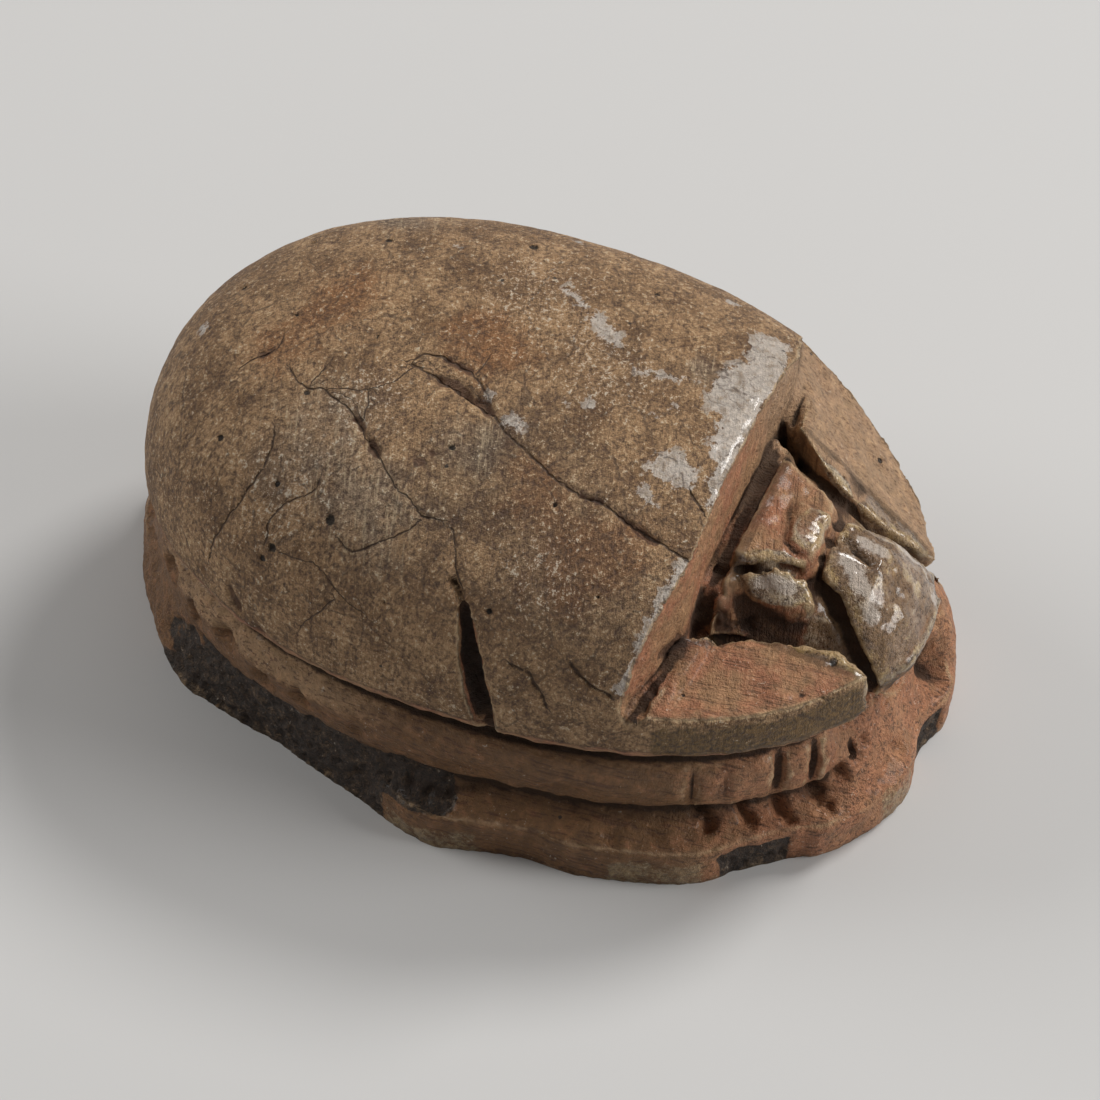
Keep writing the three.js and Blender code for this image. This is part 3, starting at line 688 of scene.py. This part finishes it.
def shapeStone(size):
    mesh = carveStone(size)
    print("even mesh:", len(mesh.vertices), "points")
    at = surveyStone(mesh, size)
    moved = at.spots + at.out * wearStone(at, size)[:, None]
    at.trench = trenchField(at, size)
    filled = size["trenchFill"] * at.trench + size["slitFill"] * slitField(at, size)
    moved[:, 2] += filled * soft(0.1, 0.7, at.out[:, 2])
    moved[at.base] = at.spots[at.base]
    moved[at.base, 2] = undersideRelief(at.spots[at.base], at.ring[at.base], size)
    low, high = (np.array(corner) / mm for corner in cadBox)
    setPoints(mesh, np.clip(moved, low, high))
    print("wear carved")
    for name, values in finishMasks(at, size).items():
        setMask(mesh, name, values)
    piece = bpy.data.objects.new("carvedScarab", thinned(mesh, size["mostTriangles"]))
    bpy.context.scene.collection.objects.link(piece)
    return piece


# Finishes, picked as 0 to 255
stoneColours = {
    "warmSkin": (163, 129, 92), "darkSkin": (124, 92, 59), "greySkin": (144, 125, 104), "redSkin": (143, 97, 56),
    "lightGrain": (204, 182, 148), "darkGrain": (66, 46, 31), "brownGrain": (80, 51, 32),
    "cutTan": (162, 123, 87), "cutPink": (158, 105, 74), "cutPale": (196, 163, 124), "cutLine": (90, 56, 35),
    "cutRed": (170, 113, 79),
    "farTan": (160, 130, 99), "glaze": (204, 193, 182), "headGlaze": (128, 100, 69), "paleGlaze": (188, 172, 148),
    "greenGlaze": (104, 76, 30), "yellowGlaze": (172, 144, 84), "broken": (61, 46, 35), "brokenPale": (118, 94, 68),
    # the soil colour also serves as painted shade in hollows, grooves and notches
    "soilAndShade": (44, 27, 14), "crack": (62, 42, 28), "gougeRed": (84, 54, 36), "pit": (30, 26, 24),
    "speck": (216, 206, 190), "leg": (122, 87, 53), "rimGlaze": (158, 138, 100),
}


def stoneFinish(colours):
    bench = Bench("weatheredSteatite")
    hue = {name: tint(*value) for name, value in colours.items()}
    place = bench.add("ShaderNodeTexCoord", output=3)
    spot = bench.add("ShaderNodeVectorMath", {"operation": "SCALE"}, {0: place, "Scale": 1 / mm})
    mask = {name: bench.mask(name) for name in (
        "backSkin", "brokenFace", "hollow", "deepHollow", "crackSide", "crackNear", "gouge", "glazeSpot",
        "greyTone", "redTone", "clypeus", "headGlaze", "greenBand", "flank", "paleChip", "pitReach",
        "crumbled", "earthAndShade", "farSide", "face", "paintedShade", "frontTone", "paintedBandHighlight", "fleckTone", "thickGlaze")}

    cloudy = bench.clouds(spot, 1.0, 3, 0.6)
    mottle = bench.clouds(spot, 3.4, 3, 0.65)
    grain = bench.clouds(spot, 8.5, 3, 0.85)
    speckle = grain.rise(0.36, 0.66)
    blotch = mottle.rise(0.32, 0.68)
    back = mask["backSkin"].rise(0.3, 0.8)
    # marks of the tool: across the back, and along the cut faces
    alongCuts = bench.stretched(spot, (0.12, 0.0, 0.2), (0.07, 3.4, 0.07))
    acrossBack = bench.stretched(spot, (0.0, 0.0, 0.3), (1.1, 0.08, 1.1))
    scratches = bench.clouds(bench.stretched(spot, (0.0, 0.0, -0.8), (0.8, 0.09, 0.8)), 1.0, 2, 0.6)
    strokes = bench.clouds(bench.between(alongCuts, acrossBack, back.most(mask["face"])), 1.0, 2, 0.6)

    # weathered skin of the back
    skin = bench.cover(hue["warmSkin"], hue["darkSkin"], (cloudy + 0.5 * mottle).rise(0.62, 0.92))
    greyShare = (mask["greyTone"] + (cloudy - 0.5) * 1.8 + (mottle - 0.5) * 1.4).rise(0.2, 1.6)
    skin = bench.cover(skin, hue["greySkin"], greyShare * 0.7)
    redShare = (mask["redTone"] + (cloudy - 0.5) * 1.6 + (mottle - 0.5)).rise(0.2, 1.2)
    skin = bench.cover(skin, hue["redSkin"], redShare * 0.75)
    # painted shade darkens the back in its shaded zones
    skin = bench.shade(skin, (0.46 + 0.5 * blotch + 0.58 * speckle) * (1 - 0.3 * mask["paintedShade"].least(1)))
    skin = bench.cover(skin, hue["brownGrain"], (scratches + 0.3 * grain).rise(0.56, 0.46) * 0.5)
    skin = bench.cover(skin, hue["lightGrain"], (grain + 0.35 * mottle).rise(0.72, 0.84) * 0.6)
    flecks = (grain + 0.3 * mottle + 0.1 * mask["fleckTone"].least(1)).rise(0.79, 0.87)
    skin = bench.cover(skin, hue["speck"], flecks * 0.55)
    skin = bench.cover(skin, hue["lightGrain"], strokes.rise(0.54, 0.66) * mask["greyTone"].least(1) * 0.45)
    skin = bench.cover(skin, hue["brownGrain"], (strokes + 0.5 * grain).rise(0.66, 0.54) * 0.4)
    skin = bench.cover(skin, hue["brownGrain"], (grain + 0.35 * mottle).rise(0.64, 0.5) * 0.7)

    # cut faces, along which the tool ran
    cut = bench.cover(hue["cutTan"], hue["cutPink"], (cloudy + 0.4 * mottle).rise(0.55, 0.85))
    cut = bench.cover(cut, hue["farTan"], mask["farSide"] * (1 - mask["flank"]) * 0.85)
    cut = bench.cover(cut, hue["cutPale"], mottle.rise(0.55, 0.75) * 0.4)
    leg = bench.cover(hue["leg"], hue["cutPink"], mottle.rise(0.5, 0.8) * 0.5)
    cut = bench.cover(cut, leg, mask["flank"] * (1 - 0.7 * mask["frontTone"]))
    frontShare = (mask["frontTone"] * mask["flank"] + (mottle - 0.5) * 1.6).rise(0.2, 1.1)
    cut = bench.cover(cut, hue["cutRed"], frontShare * 0.4)
    # painted highlight: the band's top made paler where light falls on it from above
    cut = bench.cover(cut, hue["cutPale"], (mask["paintedBandHighlight"] + (mottle - 0.5)).rise(0.3, 1.0) * 0.4)
    cut = bench.cover(cut, hue["cutLine"], (strokes + 0.1 * grain).rise(0.51, 0.4) * (0.5 + 0.25 * mask["flank"]))
    cut = bench.shade(cut, 0.6 + 0.35 * blotch + 0.35 * strokes + 0.25 * speckle)
    cut = bench.cover(cut, hue["darkGrain"], (grain + 0.5 * mottle).rise(0.6, 0.46) * 0.55)
    cut = bench.cover(cut, hue["gougeRed"], (mask["crumbled"] + (grain - 0.5)).rise(0.3, 0.8) * 0.75)
    colour = bench.cover(cut, skin, back)

    # glaze that is left
    ragged = (cloudy - 0.5) * 0.4 + (mottle - 0.5) * 0.9 + (grain - 0.5) * 0.45
    patch = (mask["glazeSpot"] + ragged).rise(-0.04, 0.05) * back
    glazed = bench.cover(hue["glaze"], hue["greySkin"], (mottle + 0.4 * grain).rise(0.66, 0.9) * 0.8)
    colour = bench.cover(colour, bench.shade(glazed, 0.78 + 0.36 * speckle), patch * 0.88)
    headPatch = mask["clypeus"] * 0.8 + mask["headGlaze"] + (mottle - 0.5) * 0.9 - mask["hollow"] * 14
    headPatch = headPatch.rise(0.3, 0.8)
    paleShare = (cloudy + 0.7 * mottle - 9 * mask["hollow"] + 0.18 * mask["headGlaze"]).rise(0.92, 1.16)
    headTone = bench.cover(hue["headGlaze"], hue["paleGlaze"], paleShare)
    headTone = bench.cover(headTone, hue["yellowGlaze"], (mottle - 4 * mask["deepHollow"]).rise(0.66, 0.95) * 0.7)
    headTone = bench.shade(headTone, 0.6 + 0.35 * blotch + 0.4 * speckle)
    headTone = bench.cover(headTone, hue["darkGrain"], (grain + 0.5 * mottle).rise(0.72, 0.58) * 0.75)
    thick = (mask["thickGlaze"] + (mottle - 0.5) * 0.5 + (grain - 0.5) * 0.25).rise(-0.03, 0.1)
    headTone = bench.cover(headTone, hue["glaze"], thick * 0.8)
    colour = bench.cover(colour, headTone, headPatch * 0.9)
    green = (mask["greenBand"] * (1 - mask["farSide"]) + (mottle - 0.5) * 1.4).rise(0.4, 0.8)
    colour = bench.cover(colour, bench.shade(hue["greenGlaze"], 0.45 + speckle), green * 0.92)
    rimGlaze = (mask["paleChip"] * 0.8 + (mottle - 0.5) * 1.8 + (grain - 0.5) * 0.6).rise(0.5, 0.9)
    colour = bench.cover(colour, bench.shade(hue["rimGlaze"], 0.5 + 0.8 * speckle), rimGlaze * 0.65)

    # broken faces
    dark = bench.cover(hue["broken"], hue["brokenPale"], (mottle + 0.6 * grain).rise(0.78, 1.05) * 0.6)
    dark = bench.shade(dark, 0.45 + 0.8 * speckle)
    colour = bench.cover(colour, dark, (mask["brokenFace"] + (mottle - 0.5) * 0.9).rise(0.35, 0.6))

    # pale convex edges from wear and painted highlight, pale specks, and soil with painted shade darkening the
    # hollows
    # convex edges made paler: partly wear, partly a painted highlight along the edges
    edge = ((mottle - 0.5) * 0.03 - mask["hollow"]).rise(0.01, 0.035)
    colour = bench.cover(colour, hue["cutPale"], edge * 0.55)
    colour = bench.cover(colour, hue["speck"], (grain + 0.3 * cloudy).rise(0.8, 0.88) * 0.6)
    # soil and painted shade: hollows, deep hollows and the earth mask darken towards the soil colour
    soilAndShade = (mask["hollow"] * 22 + mask["deepHollow"] * 4.5 + mask["earthAndShade"] * 0.9 + (mottle - 0.5)).rise(0.2, 0.8)
    colour = bench.cover(colour, hue["soilAndShade"], soilAndShade * 0.88)
    # painted shade: colour darkened further where the earth mask passes 1, in the notch and the head's grooved
    # recesses
    colour = bench.shade(colour, 1 - 0.6 * (mask["earthAndShade"] - 1).most(0).least(1))

    # cracks, fine crackle and pits
    shake = (mottle - 0.5) * 0.1 + (grain - 0.5) * 0.06
    crack = (1 - abs(mask["crackSide"] + shake).rise(0.01, 0.05)) * mask["crackNear"] * mottle.rise(0.3, 0.42)
    colour = bench.cover(colour, hue["gougeRed"], (mask["gouge"] + (grain - 0.5)).rise(0.3, 0.7) * 0.8)
    sway = bench.add("ShaderNodeCombineXYZ", {}, {"X": cloudy, "Y": mottle, "Z": cloudy})
    bent = bench.add("ShaderNodeVectorMath", {"operation": "MULTIPLY_ADD"}, {0: sway, 1: (1.2, 0.5, 0.8), 2: spot})
    wideNet = (1 - bench.cells(bent, 0.6, "DISTANCE_TO_EDGE").rise(0.004, 0.028)) * mottle.rise(0.44, 0.54) * 0.75
    fineNet = (1 - bench.cells(bent, 1.9, "DISTANCE_TO_EDGE").rise(0.006, 0.045)) * cloudy.rise(0.42, 0.54) * 0.5
    crumbLines = fineNet * 2 * mask["crumbled"]
    lines = crack.most(wideNet.most(fineNet) * back).most(crumbLines)
    colour = bench.cover(colour, hue["crack"], lines * 0.85)
    pit = 1 - (mask["pitReach"] + (mottle - 0.5) * 0.6 + (grain - 0.5) * 0.4).rise(0.7, 1.05)
    smallPit = 1 - (bench.cells(spot, 0.9) + (grain - 0.5) * 0.05).rise(0.03, 0.055)
    holes = pit.most(smallPit)
    colour = bench.cover(colour, hue["pit"], holes * 0.9)

    # relief too fine for the mesh, in millimetres
    height = mottle * 0.06 + grain * 0.11 + (strokes + scratches * back) * 0.05 - crack * 0.06 - pit * 0.06
    normal = bench.add("ShaderNodeBump", {}, {"Strength": 1.0, "Distance": mm, "Height": height})

    glossy = (patch * 0.8).most(headPatch).most(green * 0.2).most(rimGlaze * 0.4) * (1 - soilAndShade)
    roughness = 0.66 - 0.36 * glossy + (grain - 0.5) * 0.3 + soilAndShade * 0.2
    coat = glossy * grain.rise(0.32, 0.55) * 0.8 + (1 - back) * (1 - soilAndShade) * 0.12
    shader = bench.add("ShaderNodeBsdfPrincipled", {}, {
        "Base Color": colour, "Roughness": roughness.least(0.95).most(0.2), "Normal": normal,
        "Coat Weight": coat, "Coat Roughness": 0.14, "IOR": 1.52})
    return bench.finish(shader)


stone = shapeStone(scarabStone)
print("stone carved:", sum(len(p.vertices) - 2 for p in stone.data.polygons), "triangles")
stone.data.materials.append(stoneFinish(stoneColours))
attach(stone, "root")
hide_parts("scarab")
print("stone finished")

# Plain pale floor
floorCard = {"halfSize": 1.2, "colour": (206, 206, 206), "roughness": 0.9}


def layFloor(card):
    mesh = bpy.data.meshes.new("paleFloor")
    sheet = bmesh.new()
    bmesh.ops.create_grid(sheet, x_segments=1, y_segments=1, size=card["halfSize"])
    sheet.to_mesh(mesh)
    sheet.free()
    floor = bpy.data.objects.new("paleFloor", mesh)
    bpy.context.scene.collection.objects.link(floor)
    bench = Bench("paleCard")
    shader = bench.add("ShaderNodeBsdfPrincipled", {}, {
        "Base Color": tint(*card["colour"]), "Roughness": card["roughness"]})
    mesh.materials.append(bench.finish(shader))


layFloor(floorCard)
print("floor laid")
